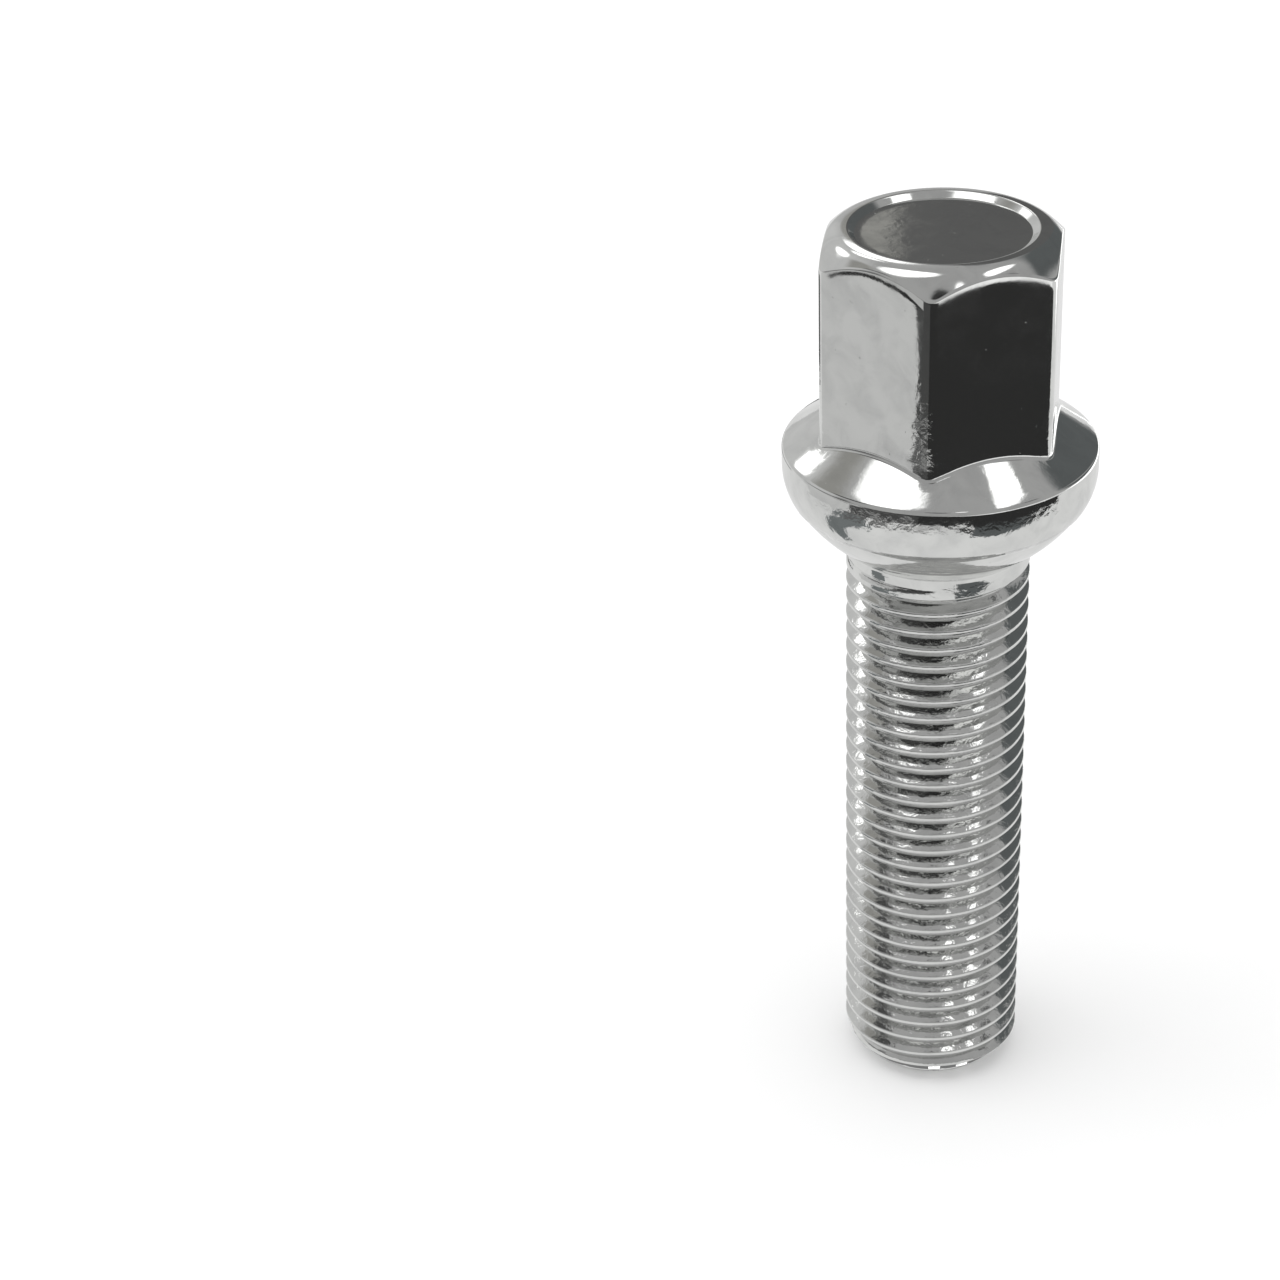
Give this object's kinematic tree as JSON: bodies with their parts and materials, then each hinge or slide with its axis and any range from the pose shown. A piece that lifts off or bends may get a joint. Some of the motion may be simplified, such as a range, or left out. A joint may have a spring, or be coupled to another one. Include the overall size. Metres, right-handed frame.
{
  "type": "wheel bolt",
  "caption": "Chromed wheel bolt with a dished hexagon head, a round collar with a ball seat underneath and a long fine-threaded shank.",
  "frame": {"origin": "centre of the flat tip face, which the bolt stands on", "axes": "+Z along the shank's axis from the tip to the head, with a corner of the hexagon towards -Y"},
  "size_m": [0.0236, 0.0234, 0.0715],
  "materials": {
    "plating": "bright nickel and chrome plating with slight waviness and fine pits"
  },
  "bodies": {
    "root": {"wheel_bolt": "plating"}
  },
  "joints": []
}
